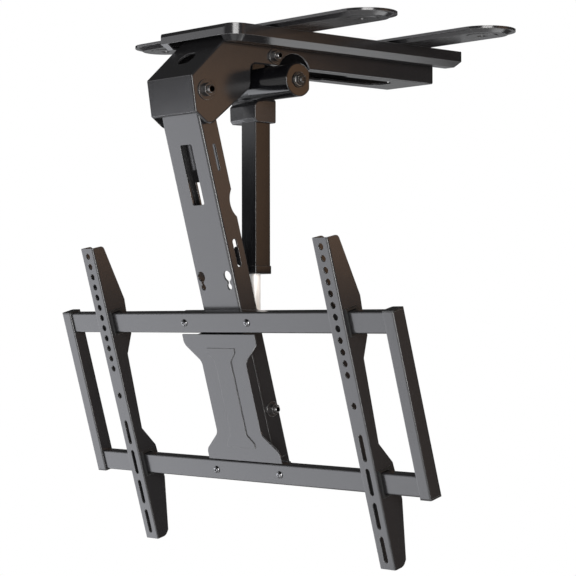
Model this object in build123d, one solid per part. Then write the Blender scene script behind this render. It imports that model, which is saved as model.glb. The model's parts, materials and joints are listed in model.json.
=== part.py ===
from build123d import *
import math
import os

# Motorised ceiling mount for a television, in millimetres.
# X runs across the television, -Y points to the viewer and Z is up.
# The origin is the middle of the four ceiling screws, at the plate's top face.
# The arm hangs down at the end of the actuator's stroke; it folds up and back.

# Cross arms: pressed straps, with the wall screws at two studs' spacing
ARM_STRAP_HALF = 250.0
ARM_STRAP_WIDTH = 82.0
ARM_STRAP_HEIGHT = 7.5
STRAP_RIM_HEIGHT = 3.6
STRAP_RIM = 4.5
STRAP_SHEET = 2.0
PANEL_WIDTH = 60.0
STRAP_END = 215.0
STUD_SPACING = 406.4
STUD_HOLE = 14.0
STRAP_Y = (-106.0, 121.0)
STRAP_BOLT_X = 38.0
STRAP_BOLT_Y = 16.0

# Ceiling plate: a pan with vertical sides, a sloped edge and lips turned inwards
PLATE_HALF_WIDTH = 76.5
PLATE_HALF_LENGTH = 217.0
PLATE_SHEET = 2.5
PLATE_SIDE = 14.5
PLATE_CHAMFER = 8.0
PLATE_LIP_INNER = 50.5
PLATE_CORNER = 22.0
PLATE_SHARP_CORNER = 3.0
FRONT_BEVEL = (2.5, 5.0)
NOTCH = (-60.0, 52.0)
NOTCH_SLANT = 3.0
PLATE_TOP = -ARM_STRAP_HEIGHT
PLATE_BOTTOM = PLATE_TOP - PLATE_SIDE - PLATE_CHAMFER

# Hinge bracket: folded sheet, with a head in front and a channel behind
SHEET = 2.5
BRACKET_HALF = 47.5
BRACKET_REAR = 185.5
CHANNEL_BOTTOM = -54.0
FLANGE_TOP = PLATE_TOP - PLATE_SHEET
FLANGE_INNER = 27.0
HEAD_SLOPE_TOP = (-189.4, FLANGE_TOP)
HEAD_TOP = (-262.6, -77.5)
HEAD_BOTTOM = (-255.2, -125.0)
CHEEK_TIP = (-231.0, -142.3)
CHEEK_REAR_LOW = (-160.5, -86.2)
CHEEK_REAR_TOP = (-160.5, CHANNEL_BOTTOM)
WEB_FRONT = -52.0
HEAD_HOLE = (30.0, 24.0)
HEAD_HOLE_RISE = 41.0
MOTOR_CUTOUT = (-83.0, -65.0)
MOTOR_CUTOUT_RADIUS = 30.5
WEB_SLOT_WIDE = 31.0
WEB_SLOT_WIDE_END = 34.0
WEB_SLOT_NARROW = 24.0
WEB_SLOT_END = 138.0

# Arm: its upper pivot, its lean and the distance to the lower pivot
PIVOT = (-237.8, -95.3)
ARM_LEAN = 15.8
PIVOT_TO_ROD = 434.9
ARM_HALF = 39.0
ARM_FRONT = -15.0
ARM_REAR = 13.0
ARM_BOTTOM = -527.0
ARM_WEB_TOP = -9.0
ARM_TOP_RADIUS = 14.0
FRONT_SLOT = (-67.0, -149.0)
FRONT_SLOT_HALF = 12.0
KEYHOLE_X = 27.0
KEYHOLE_Z = -246.5
KEYHOLE_DROP = 14.5
KEYHOLE_RADII = (7.3, 4.6)
KEYHOLE_NECK = 2.4
BACK_PLATE = (-30.0, -126.0, -137.0)
BACK_TAB_INNER = 21.8
BACK_TAB = (-239.0, -213.0)
BACK_TAB_CORNER = 4.5
CHEEK_SLOTS = ((-71.5, -107.5, 4.5), (-200.0, -238.0, 7.0))
MOTOR_RELIEF = (35.3, -154.1)
MOTOR_RELIEF_RADIUS = 29.0

# Television frame, measured down the arm from the upper pivot
FRAME_HALF = 342.0
SIDE_TUBE = (20.0, 20.3)
FRAME_TOP = -290.5
FRAME_LENGTH = 241.6
TUBE_FRONT = -33.5
TUBE_WALL = 1.6
TUBE_CORNER = 2.5
RAIL_FRONT = -30.7
RAIL_DEPTH = 13.5
RAIL_HEIGHT = 28.5
RAIL_INSET = 1.8
CAP_THICKNESS = 2.0
RAIL_SCREW_X = 65.0
SCREW_SHANK = 5.0
SCREW_HOLE = 5.4

# Frame bracket behind the rails and the cover between them
WAIST_HALF = 45.5
EAR_HALF = 75.0
EAR_DROP = 13.5
FLARE_DROP = 38.0
COVER_FRONT = -31.0
COVER_SHEET = 2.0
COVER_GAP = 1.8
PANEL_RISE = 1.2
SIDE_PLATE_OUTER = 41.8
SIDE_PLATE_REAR = 10.5

# Television brackets
TV_BRACKET_WIDTH = 28.2
TV_BRACKET_FRONT = -38.5
TV_BRACKET_SHEET = 2.0
TV_BRACKET_TOP = -195.5
TV_BRACKET_LENGTH = 433.0
TV_BRACKET_X = (-239.0, 245.0)
HOLE_PITCH = 15.0
HOLE_COUNT = 12
HOLE_SIZE = 9.0
FIRST_HOLE = 11.4
SINGLE_HOLE = 216.7
FIRST_SLOT = 271.9
SLOT_PITCH = 44.9
SLOT_COUNT = 4
SLOT_LENGTH = 36.0
SLOT_WIDTH = 7.6
RAIL_CLEARANCE = 0.6
GLIDE_WIDTH = 33.2
GLIDE_DEPTH = (-34.0, -13.6)
GLIDE_HEIGHT = 35.7

# Actuator, upright below its top pivot
ACTUATOR_TOP = -41.1
STROKE_RETRACTED = 151.56
GEAR_SIDES = (-30.5, 27.5)
GEAR_FACES = (-16.8, 20.9)
GEAR_BEVEL = 7.0
GEAR_TOP = -99.5
GEAR_BOTTOM = -128.5
GEAR_CORNER = 2.5
NECK_HALF = 15.0
NECK_DEPTH = 22.0
TUBE_SECTION = (30.0, 24.0)
TUBE_OFFSET = 7.5
TUBE_BOTTOM = -332.5
OUTER_TUBE_WALL = 2.0
COLLAR_HEIGHT = 12.0
COLLAR_STEP = 1.2
MOTOR_RADIUS = 22.2
MOTOR_AXIS = (-132.0, -79.5)
MOTOR_START = GEAR_SIDES[1]
MOTOR_END = 110.0
MOTOR_FLAT = 18.3
ROD_RADIUS = 7.2
ROD_TOP = -300.0
ROD_CLEARANCE = 0.3
SCREW_RADIUS = 4.0
SCREW_END = -322.0
SCREW_FIT = 0.05
ROD_BORE_DEPTH = 182.0

# Fasteners: each pivot bolt's shank, washer radius and width across flats
HINGE_BOLT = (10.0, 13.5, 16.0)
ACTUATOR_BOLT = (8.0, 10.0, 13.0)
LOWER_BOLT = (8.0, 10.0, 13.0)
MOTOR_BOLT = (8.0, 10.5, 13.0)
PIVOT_FIT = 0.06
WASHER_THICKNESS = 1.6
NUT_HEIGHT = 6.5
BOLT_TIP = 4.0

actuator_y = PIVOT[0] + PIVOT_TO_ROD * math.sin(math.radians(ARM_LEAN))
rod_pivot_z = PIVOT[1] - PIVOT_TO_ROD * math.cos(math.radians(ARM_LEAN))
mount_frame = Location((0, -sum(STRAP_Y) / 2, ARM_STRAP_HEIGHT))
arm_frame = Location((0, PIVOT[0], PIVOT[1]), (ARM_LEAN, 0, 0))
rail_z = (FRAME_TOP - RAIL_INSET - RAIL_HEIGHT / 2,
          FRAME_TOP - FRAME_LENGTH + RAIL_INSET + RAIL_HEIGHT / 2)
rail_rear = RAIL_FRONT + RAIL_DEPTH

nodes = {}


def keep(name, shape, place=Location()):
    """Store a finished piece under its name, moved to the mount's own origin."""
    nodes[name] = mount_frame * place * shape


def block(x, y, z):
    """A box between pairs of limits along each axis."""
    size = [pair[1] - pair[0] for pair in (x, y, z)]
    centre = [(pair[0] + pair[1]) / 2 for pair in (x, y, z)]
    return Pos(*centre) * Box(*size)


def side_prism(outline, x0, x1):
    """A flat outline in Y and Z, given thickness from x0 to x1."""
    face = make_face(Polyline(*[(x0, y, z) for y, z in outline], close=True))
    return extrude(face, amount=x1 - x0, dir=(1, 0, 0))


def front_prism(outline, y0, y1):
    """A flat outline in X and Z, given thickness from y0 to y1."""
    face = make_face(Polyline(*[(x, y0, z) for x, z in outline], close=True))
    return extrude(face, amount=y1 - y0, dir=(0, 1, 0))


def rod_x(radius, x0, x1, y=0.0, z=0.0):
    """A round bar along X."""
    return Pos((x0 + x1) / 2, y, z) * Rot(0, 90, 0) * Cylinder(radius, x1 - x0)


def rod_y(radius, y0, y1, x=0.0, z=0.0):
    """A round bar along Y."""
    return Pos(x, (y0 + y1) / 2, z) * Rot(90, 0, 0) * Cylinder(radius, y1 - y0)


def hexagon_x(across, x0, x1, y=0.0, z=0.0):
    """A hexagonal bar along X, for a nut or a bolt head."""
    profile = RegularPolygon(across / 2, 6, major_radius=False)
    return Pos(x0, y, z) * Rot(0, 90, 0) * extrude(profile, amount=x1 - x0)


def slot_y(length, width, y0, y1, x, z):
    """An upright obround cutter along Y."""
    straight = (length - width) / 2
    body = block((x - width / 2, x + width / 2), (y0, y1), (z - straight, z + straight))
    return body + rod_y(width / 2, y0, y1, x, z + straight) + rod_y(width / 2, y0, y1, x, z - straight)


def slot_x(z_top, z_bottom, width, x0, x1, y=0.0):
    """An upright obround cutter along X."""
    half = width / 2
    body = block((x0, x1), (y - half, y + half), (z_bottom + half, z_top - half))
    return body + rod_x(half, x0, x1, y, z_top - half) + rod_x(half, x0, x1, y, z_bottom + half)


def mirrored(points):
    """An outline on the right of the middle plane, closed by its mirror image."""
    return points + [(-x, z) for x, z in reversed(points)]


def bent_edges(shape, x, tolerance=0.01):
    """Edges that lie wholly at one distance from the middle plane."""
    return shape.edges().filter_by(lambda e: all(abs(abs(v.X) - x) < tolerance for v in e.vertices()))


def rounded_strap(half_length, width, z0, z1):
    """A flat strap along X with half-round ends."""
    reach = half_length - width / 2
    middle = block((-reach, reach), (-width / 2, width / 2), (z0, z1))
    ends = [Pos(side * reach, 0, (z0 + z1) / 2) * Cylinder(width / 2, z1 - z0) for side in (-1, 1)]
    return middle + ends[0] + ends[1]


def rounded_strap_dish(half_length, top_width, bottom_width, z_top, z_bottom):
    """The tapered form of a pressed panel, smaller at the bottom."""
    step = (top_width - bottom_width) / 2
    profiles = []
    for width, inset, z in ((top_width, 0.0, z_top), (bottom_width, step, z_bottom)):
        reach = half_length - inset - width / 2
        profiles.append(Pos(0, 0, z) * SlotCenterToCenter(2 * reach, width))
    return loft(profiles)


def cross_arm():
    """A strap pressed down in the middle, with a rim that lies on the ceiling.

    Its floor, side walls and ends are solids that touch, so that each is nearly convex.
    """
    rim_low = -STRAP_RIM_HEIGHT
    dish_half = ARM_STRAP_HALF - STRAP_RIM
    dish_width = ARM_STRAP_WIDTH - 2 * STRAP_RIM
    body = rounded_strap(ARM_STRAP_HALF, ARM_STRAP_WIDTH, rim_low, 0)
    body += rounded_strap_dish(dish_half, dish_width, PANEL_WIDTH, rim_low, -ARM_STRAP_HEIGHT)
    inside = rounded_strap(dish_half - STRAP_SHEET, dish_width - 2 * STRAP_SHEET, rim_low, 1)
    inside += rounded_strap_dish(dish_half - STRAP_SHEET, dish_width - 2 * STRAP_SHEET,
                                 PANEL_WIDTH - 2 * STRAP_SHEET, rim_low, STRAP_SHEET - ARM_STRAP_HEIGHT)
    body -= inside
    for side in (-1, 1):
        body -= Pos(side * STUD_SPACING / 2, 0, 0) * Cylinder(STUD_HOLE / 2, 3 * ARM_STRAP_HEIGHT)
        for across in (-1, 1):
            body -= Pos(side * STRAP_BOLT_X, across * STRAP_BOLT_Y, 0) * Cylinder(3.2, 3 * ARM_STRAP_HEIGHT)
    middle = block((-STRAP_END, STRAP_END), (-ARM_STRAP_WIDTH, ARM_STRAP_WIDTH), (-20, 20))
    floor_half = PANEL_WIDTH / 2 - STRAP_SHEET
    floor = middle & block((-STRAP_END, STRAP_END), (-floor_half, floor_half), (-20, 20))
    solids = (body & floor).solids() + (body & (middle - floor)).solids() + (body - middle).solids()
    return Compound(solids)


def ceiling_plate():
    """The pan under the cross arms; its front is notched for the hinge head."""
    half, length, sheet = PLATE_HALF_WIDTH, PLATE_HALF_LENGTH, PLATE_SHEET
    side_low = PLATE_TOP - PLATE_SIDE

    def layer(inset, z):
        plan = Rectangle(2 * (half - inset), 2 * (length - inset))
        right_front = plan.vertices().filter_by(lambda v: v.X > 0 > v.Y)
        plan = fillet(right_front, PLATE_CORNER - inset)
        sharp = plan.vertices().filter_by(lambda v: v.X < 0 or v.Y > 0)
        sharp = [v for v in sharp if abs(abs(v.X) - half + inset) + abs(abs(v.Y) - length + inset) < 0.01]
        return Pos(0, 0, z) * fillet(sharp, max(PLATE_SHARP_CORNER - inset, 1.0))

    outer = extrude(layer(0, side_low), amount=PLATE_SIDE)
    outer += loft([layer(PLATE_CHAMFER, PLATE_BOTTOM), layer(0, side_low)])
    inner = extrude(layer(sheet, side_low), amount=PLATE_SIDE - sheet)
    inner += loft([layer(PLATE_CHAMFER + sheet, PLATE_BOTTOM + sheet), layer(sheet, side_low)])
    pan = outer - inner
    lip_open = block((-PLATE_LIP_INNER, PLATE_LIP_INNER), (-length - 1, length + 1),
                     (PLATE_BOTTOM - 1, PLATE_BOTTOM + sheet + 0.5))
    pan -= lip_open
    left, right = NOTCH
    pan -= front_prism([(left, side_low), (right, side_low), (right, PLATE_BOTTOM - 1),
                        (left + NOTCH_SLANT, PLATE_BOTTOM - 1)], -length - 1, 25 - length)
    depth, drop = FRONT_BEVEL
    pan -= side_prism([(-length - depth, PLATE_TOP - 2 * drop), (-length - depth, PLATE_TOP + drop),
                       (-length + 2 * depth, PLATE_TOP + drop)], -half - 1, half + 1)
    pan -= block((-PLATE_LIP_INNER, PLATE_LIP_INNER), (length - 25, length + 1), (PLATE_BOTTOM - 1, side_low))
    for y in STRAP_Y:
        for x in (-STRAP_BOLT_X, STRAP_BOLT_X):
            for across in (-STRAP_BOLT_Y, STRAP_BOLT_Y):
                pan -= Pos(x, y + across, PLATE_TOP) * Cylinder(3.2, 4 * sheet)
    return pan


def strap_bolts():
    """Bolts that hold the cross arms to the plate, with heads inside the pan."""
    group = []
    under = FLANGE_TOP - SHEET
    for y in STRAP_Y:
        for x in (-STRAP_BOLT_X, STRAP_BOLT_X):
            for across in (-STRAP_BOLT_Y, STRAP_BOLT_Y):
                head = extrude(RegularPolygon(5.0, 6, major_radius=False), amount=-4.0)
                shank = extrude(Circle(3.0), amount=SHEET + PLATE_SHEET + STRAP_SHEET + 0.8)
                group.append(Pos(x, y + across, under) * (head + shank))
    return Compound(group)


def head_outline():
    return [HEAD_SLOPE_TOP, HEAD_TOP, HEAD_BOTTOM, CHEEK_TIP, CHEEK_REAR_LOW, CHEEK_REAR_TOP,
            (BRACKET_REAR, CHANNEL_BOTTOM), (BRACKET_REAR, FLANGE_TOP)]


def inset_corner(before, corner, after, depth):
    """The corner of an outline moved inwards by a sheet's thickness."""
    def shifted(a, b):
        length = math.hypot(b[0] - a[0], b[1] - a[1])
        nx, nz = -(b[1] - a[1]) / length, (b[0] - a[0]) / length
        return (a[0] + nx * depth, a[1] + nz * depth), (b[0] - a[0], b[1] - a[1])
    p, d = shifted(before, corner)
    q, e = shifted(corner, after)
    cross = d[0] * e[1] - d[1] * e[0]
    k = ((q[0] - p[0]) * e[1] - (q[1] - p[1]) * e[0]) / cross
    return p[0] + k * d[0], p[1] + k * d[1]


def hinge_bracket():
    """Head, cheeks and channel folded from one sheet."""
    body = side_prism(head_outline(), -BRACKET_HALF, BRACKET_HALF)

    def across(point):
        return lambda e: e.length > BRACKET_HALF and math.hypot(
            e.center().Y - point[0], e.center().Z - point[1]) < 0.1

    body = fillet(body.edges().filter_by(Axis.X).filter_by(across(CHEEK_TIP)), 13)
    body = fillet(body.edges().filter_by(Axis.X).filter_by(across(CHEEK_REAR_LOW)), 13)
    body = fillet(body.edges().filter_by(Axis.X).filter_by(across(CHEEK_REAR_TOP)), 9)
    front = [e for e in bent_edges(body, BRACKET_HALF)
             if e.center().Y < HEAD_SLOPE_TOP[0] and e.center().Z > HEAD_BOTTOM[1] + 1]
    channel = [e for e in bent_edges(body, BRACKET_HALF)
               if abs(e.center().Z - CHANNEL_BOTTOM) < 0.1 and e.length > 200]
    body = fillet(front + channel, SHEET)
    top = inset_corner((HEAD_SLOPE_TOP[0] + 10, HEAD_SLOPE_TOP[1] + 9.4), HEAD_TOP, HEAD_BOTTOM, SHEET)
    slope_top = inset_corner(HEAD_TOP, HEAD_SLOPE_TOP, (BRACKET_REAR, PLATE_BOTTOM), -SHEET)
    low = inset_corner(HEAD_TOP, HEAD_BOTTOM, (0, HEAD_BOTTOM[1]), SHEET)
    lean = (low[0] - top[0]) / (low[1] - top[1])
    beyond = 30.0
    inside = [(slope_top[0] + beyond, slope_top[1] + beyond * 0.93), top,
              (low[0] - lean * beyond, low[1] - beyond), (WEB_FRONT, low[1] - beyond),
              (WEB_FRONT, CHANNEL_BOTTOM + SHEET), (BRACKET_REAR + 1, CHANNEL_BOTTOM + SHEET),
              (BRACKET_REAR + 1, slope_top[1] + beyond * 0.93)]
    body -= side_prism(inside, SHEET - BRACKET_HALF, BRACKET_HALF - SHEET)
    for side in (-1, 1):
        edges = sorted((side * FLANGE_INNER, side * (BRACKET_HALF - SHEET / 2)))
        flange = block(edges, (HEAD_SLOPE_TOP[0] + 4, BRACKET_REAR), (FLANGE_TOP - SHEET, FLANGE_TOP))
        body += flange
        for y in STRAP_Y:
            for along in (-STRAP_BOLT_Y, STRAP_BOLT_Y):
                body -= Pos(side * STRAP_BOLT_X, y + along, FLANGE_TOP) * Cylinder(3.2, 4 * SHEET)
    body -= rod_x(MOTOR_CUTOUT_RADIUS, -60, 60, *MOTOR_CUTOUT)
    web = (CHANNEL_BOTTOM - 1, CHANNEL_BOTTOM + SHEET + 1)
    body -= block((-WEB_SLOT_WIDE, WEB_SLOT_WIDE), (WEB_FRONT - 10, WEB_SLOT_WIDE_END), web)
    body -= block((-WEB_SLOT_NARROW, WEB_SLOT_NARROW), (WEB_FRONT, WEB_SLOT_END - WEB_SLOT_NARROW), web)
    body -= Pos(0, WEB_SLOT_END - WEB_SLOT_NARROW, sum(web) / 2) * Cylinder(WEB_SLOT_NARROW, web[1] - web[0])
    slope_angle = math.degrees(math.atan2(HEAD_SLOPE_TOP[1] - HEAD_TOP[1], HEAD_SLOPE_TOP[0] - HEAD_TOP[0]))
    hole = Pos(0, HEAD_TOP[0], HEAD_TOP[1]) * Rot(slope_angle, 0, 0) * Pos(0, HEAD_HOLE_RISE, 0)
    body -= hole * extrude(SlotOverall(*HEAD_HOLE), amount=6, both=True)
    body -= rod_x(HINGE_BOLT[0] / 2 + PIVOT_FIT, -60, 60, *PIVOT)
    return body - rod_x(ACTUATOR_BOLT[0] / 2 + PIVOT_FIT, -60, 60, actuator_y, ACTUATOR_TOP)


def pivot_washers(reach, fastener, y=0.0, z=0.0):
    """Flat washers outside two cheeks, on a bolt that runs along X."""
    shank, radius, _ = fastener
    rings = []
    for x in (-reach - WASHER_THICKNESS, reach):
        ring = rod_x(radius, x, x + WASHER_THICKNESS, y, z)
        rings.append(ring - rod_x(shank / 2, x - 1, x + WASHER_THICKNESS + 1, y, z))
    return Compound(rings)


def pivot_bolt(reach, fastener, y=0.0, z=0.0):
    """A bolt along X: its head on the left, its bare end past the nut on the right."""
    shank, _, across = fastener
    seat = reach + WASHER_THICKNESS
    head = hexagon_x(across, -seat - NUT_HEIGHT, -seat, y, z)
    bar = rod_x(shank / 2, -seat, seat + NUT_HEIGHT + BOLT_TIP, y, z)
    return head + chamfer(bar.edges().group_by(Axis.X)[-1], 1.0)


def pivot_nut(reach, fastener, y=0.0, z=0.0):
    """The nut on the right-hand end of a pivot bolt."""
    shank, _, across = fastener
    seat = reach + WASHER_THICKNESS
    body = hexagon_x(across, seat, seat + NUT_HEIGHT, y, z)
    body = body & rod_x(across / 2 + 0.7, seat, seat + NUT_HEIGHT, y, z)
    return body - rod_x(shank / 2, seat - 1, seat + NUT_HEIGHT + 1, y, z)


def spacer(x0, x1, y, z, inner, wall=3.0):
    """A plain bush along X."""
    return rod_x(inner + wall, x0, x1, y, z) - rod_x(inner, x0 - 1, x1 + 1, y, z)


def swing_arm():
    """A U-shaped arm, open to the rear, that leans with the frame."""
    body = block((-ARM_HALF, ARM_HALF), (ARM_FRONT, ARM_REAR), (ARM_BOTTOM, 0))
    corners = [e for e in bent_edges(body, ARM_HALF) if abs(e.center().Y - ARM_FRONT) < 0.1 and e.length > 100]
    body = fillet(corners, 3.5)
    inner = ARM_HALF - SHEET
    body += rod_x(ARM_TOP_RADIUS, -ARM_HALF, ARM_HALF, (ARM_FRONT + ARM_REAR) / 2, 0)
    body -= block((-inner, inner), (ARM_FRONT + SHEET, ARM_REAR + 5), (ARM_BOTTOM - 1, 20))
    body -= block((-inner, inner), (ARM_FRONT - 1, ARM_REAR + 5), (ARM_WEB_TOP, 20))
    slot_top, slot_low = FRONT_SLOT
    window = block((-FRONT_SLOT_HALF, FRONT_SLOT_HALF), (ARM_FRONT - 1, ARM_FRONT + SHEET + 1), (slot_low, slot_top))
    body -= fillet(window.edges().filter_by(Axis.Y), 3)
    through = (ARM_FRONT - 1, ARM_FRONT + SHEET + 1)
    for side in (-1, 1):
        x = side * KEYHOLE_X
        body -= rod_y(KEYHOLE_RADII[0], *through, x, KEYHOLE_Z)
        body -= rod_y(KEYHOLE_RADII[1], *through, x, KEYHOLE_Z - KEYHOLE_DROP)
        body -= block((x - KEYHOLE_NECK, x + KEYHOLE_NECK), through, (KEYHOLE_Z - KEYHOLE_DROP, KEYHOLE_Z))
    for z_top, z_low, width in CHEEK_SLOTS:
        body -= slot_x(z_top, z_low, width, -60, 60)
    body -= rod_x(MOTOR_RELIEF_RADIUS, -60, 60, *MOTOR_RELIEF)
    body -= rod_x(HINGE_BOLT[0] / 2 + PIVOT_FIT, -60, 60)
    body -= rod_x(LOWER_BOLT[0] / 2, -60, 60, 0, -PIVOT_TO_ROD)
    return body


def arm_back_plates():
    """A plate welded across the arm's open rear near the top, and two tabs lower down."""
    inner = ARM_HALF - SHEET
    depth = (ARM_REAR - SHEET, ARM_REAR)
    z_top, z_shoulder, z_low = BACK_PLATE
    outline = mirrored([(inner, z_top), (inner, z_low), (BACK_TAB_INNER, z_low), (BACK_TAB_INNER, z_shoulder)])
    plate = front_prism(outline, *depth)
    corners = [e for e in plate.edges().filter_by(Axis.Y) if abs(abs(e.center().X) - BACK_TAB_INNER) < 0.1
               and abs(e.center().Z - z_shoulder) < 0.1]
    plate = fillet(corners, BACK_TAB_CORNER)
    plate -= rod_x(MOTOR_RELIEF_RADIUS, -60, 60, *MOTOR_RELIEF)
    tabs = []
    for side in (-1, 1):
        tab = block(sorted((side * BACK_TAB_INNER, side * inner)), depth, BACK_TAB)
        free = [e for e in tab.edges().filter_by(Axis.Y) if abs(abs(e.center().X) - BACK_TAB_INNER) < 0.1]
        tabs.append(fillet(free, BACK_TAB_CORNER))
    return Compound(plate.solids() + tabs)


def waist_outline(half_ear, half_waist, z_top, z_low, drop, flare):
    """Wide at both ends and narrow between them."""
    return mirrored([(half_ear, z_top), (half_ear, z_top - drop), (half_waist, z_top - flare),
                     (half_waist, z_low + flare), (half_ear, z_low + drop), (half_ear, z_low)])


def screw_holes(radius, y0, y1):
    holes = [rod_y(radius, y0, y1, side * RAIL_SCREW_X, z) for side in (-1, 1) for z in rail_z]
    return Compound(holes)


def frame_bracket():
    """The plate behind the rails, with side plates that hug the arm's cheeks."""
    z_top, z_low = FRAME_TOP - 2, FRAME_TOP - FRAME_LENGTH + 2
    rail_edge = RAIL_INSET + RAIL_HEIGHT
    outline = waist_outline(EAR_HALF, WAIST_HALF, z_top, z_low, rail_edge + EAR_DROP - 2, rail_edge + FLARE_DROP)
    web = front_prism(outline, rail_rear, ARM_FRONT)
    side_top, side_low = FRAME_TOP - 33, FRAME_TOP - FRAME_LENGTH + 30
    for side in (-1, 1):
        inner, outer = side * (ARM_HALF + 0.3), side * SIDE_PLATE_OUTER
        plate = block(sorted((inner, outer)), (rail_rear, SIDE_PLATE_REAR), (side_low, side_top))
        rear = plate.edges().filter_by(Axis.X).group_by(Axis.Y)[-1]
        web += fillet(rear, 6)
    web -= screw_holes(SCREW_HOLE / 2, rail_rear - 1, ARM_FRONT + 1)
    return web - rod_x(LOWER_BOLT[0] / 2, -60, 60, 0, -PIVOT_TO_ROD)


def cover_plate():
    """A shallow waisted pan between the rails, with a raised panel."""
    rail_edge = RAIL_INSET + RAIL_HEIGHT
    z_top = FRAME_TOP - rail_edge - COVER_GAP
    z_low = FRAME_TOP - FRAME_LENGTH + rail_edge + COVER_GAP
    outline = waist_outline(EAR_HALF, WAIST_HALF, z_top, z_low, EAR_DROP, FLARE_DROP)
    body = front_prism(outline, COVER_FRONT, rail_rear)
    upright = [e for e in body.edges().filter_by(Axis.Y) if abs(abs(e.center().X) - WAIST_HALF) < 0.1]
    body = fillet(upright, 8)
    ears = [e for e in body.edges().filter_by(Axis.Y)
            if abs(abs(e.center().X) - EAR_HALF) < 0.1 and z_low + 1 < e.center().Z < z_top - 1]
    body = fillet(ears, 4)
    wall = COVER_SHEET
    hollow = waist_outline(EAR_HALF - wall, WAIST_HALF - wall, z_top - wall, z_low + wall,
                           EAR_DROP - wall * 0.6, FLARE_DROP - wall * 0.6)
    body -= front_prism(hollow, COVER_FRONT + wall, rail_rear + 1)
    panel = waist_outline(28.0, 16.0, z_top - 19, z_low + 19, 6.5, 18.5)
    return body + front_prism(panel, COVER_FRONT - PANEL_RISE, COVER_FRONT + wall / 2)


def hollow_bar(x, y, z, wall, axis, corner):
    """A rectangular tube along one axis."""
    outer = block(x, y, z)
    outer = fillet(outer.edges().filter_by(axis), corner)
    limits = []
    for pair, direction in ((x, Axis.X), (y, Axis.Y), (z, Axis.Z)):
        grow = 1 if direction == axis else -wall
        limits.append((pair[0] - grow, pair[1] + grow))
    return outer - block(*limits)


def rail(z):
    x = FRAME_HALF - SIDE_TUBE[0]
    bar = hollow_bar((-x, x), (RAIL_FRONT, rail_rear), (z - RAIL_HEIGHT / 2, z + RAIL_HEIGHT / 2),
                     TUBE_WALL, Axis.X, TUBE_CORNER)
    return bar - screw_holes(SCREW_HOLE / 2, RAIL_FRONT - 1, rail_rear + 1)


def side_tube(side):
    inner, outer = side * (FRAME_HALF - SIDE_TUBE[0]), side * FRAME_HALF
    z = (FRAME_TOP - FRAME_LENGTH + CAP_THICKNESS, FRAME_TOP - CAP_THICKNESS)
    return hollow_bar(sorted((inner, outer)), (TUBE_FRONT, TUBE_FRONT + SIDE_TUBE[1]), z,
                      TUBE_WALL, Axis.Z, TUBE_CORNER)


def tube_caps():
    """Plastic plugs in the four ends of the side tubes."""
    caps = []
    for side in (-1, 1):
        inner, outer = sorted((side * (FRAME_HALF - SIDE_TUBE[0]), side * FRAME_HALF))
        y = (TUBE_FRONT, TUBE_FRONT + SIDE_TUBE[1])
        for z_end, inward in ((FRAME_TOP, -1), (FRAME_TOP - FRAME_LENGTH, 1)):
            lid = block((inner, outer), y, sorted((z_end, z_end + inward * CAP_THICKNESS)))
            lid = fillet(lid.edges().filter_by(Axis.Z), TUBE_CORNER)
            grip = TUBE_WALL + 0.1
            plug = block((inner + grip, outer - grip), (y[0] + grip, y[1] - grip),
                         sorted((z_end + inward * CAP_THICKNESS, z_end + inward * 12)))
            caps.append(lid + plug)
    return Compound(caps)


def rail_screws():
    """Screws that hold the rails to the frame bracket."""
    group = []
    for side in (-1, 1):
        for z in rail_z:
            x = side * RAIL_SCREW_X
            head = rod_y(4.6, RAIL_FRONT - 2.4, RAIL_FRONT, x, z)
            head = fillet(head.edges().group_by(Axis.Y)[0], 1.6)
            head -= Pos(x, RAIL_FRONT - 2.4, z) * Rot(90, 0, 0) * extrude(
                RegularPolygon(1.9, 6), amount=1.3, both=True)
            shank = rod_y(SCREW_SHANK / 2, RAIL_FRONT, ARM_FRONT + 0.5, x, z)
            nut = rod_y(SCREW_SHANK / 2, ARM_FRONT, ARM_FRONT + 4, x, z)
            group.append(head + shank + nut)
    return Compound(group)


def tv_bracket(x):
    """A slotted U-section upright; the rails run through its side walls."""
    z0 = TV_BRACKET_TOP
    low = z0 - TV_BRACKET_LENGTH
    profile = [(TV_BRACKET_FRONT, z0), (-19, z0 - 1), (-3, -278.5), (-4.5, -298.5), (-4.5, -329.5),
               (-18.5, -355.5), (-23, -465.5), (-6, -495.5), (-2.5, -545.5), (-17.3, -621.5),
               (-23.5, low), (TV_BRACKET_FRONT, low)]
    half = TV_BRACKET_WIDTH / 2
    body = side_prism(profile, x - half, x + half)
    for (y, z), radius in ((profile[1], 6), (profile[-2], 10)):
        corner = [e for e in body.edges().filter_by(Axis.X)
                  if abs(e.center().Y - y) < 0.1 and abs(e.center().Z - z) < 0.1]
        body = fillet(corner, radius)
    corners = [e for e in body.edges().filter_by(Axis.Z) if abs(e.center().Y - TV_BRACKET_FRONT) < 0.1]
    body = fillet(corners, 2.5)
    sheet = TV_BRACKET_SHEET
    body -= block((x - half + sheet, x + half - sheet), (TV_BRACKET_FRONT + sheet, 5), (low - 1, z0 + 1))
    for z in rail_z:
        body -= block((x - half - 1, x + half + 1), GLIDE_DEPTH, (z - GLIDE_HEIGHT / 2, z + GLIDE_HEIGHT / 2))
    through = (TV_BRACKET_FRONT - 1, TV_BRACKET_FRONT + sheet + 1)
    for k in range(HOLE_COUNT):
        body -= rod_y(HOLE_SIZE / 2, *through, x, z0 - FIRST_HOLE - k * HOLE_PITCH)
    body -= rod_y(HOLE_SIZE / 2, *through, x, z0 - SINGLE_HOLE)
    for k in range(SLOT_COUNT):
        body -= slot_y(SLOT_LENGTH, SLOT_WIDTH, *through, x, z0 - FIRST_SLOT - k * SLOT_PITCH)
    return body


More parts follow.
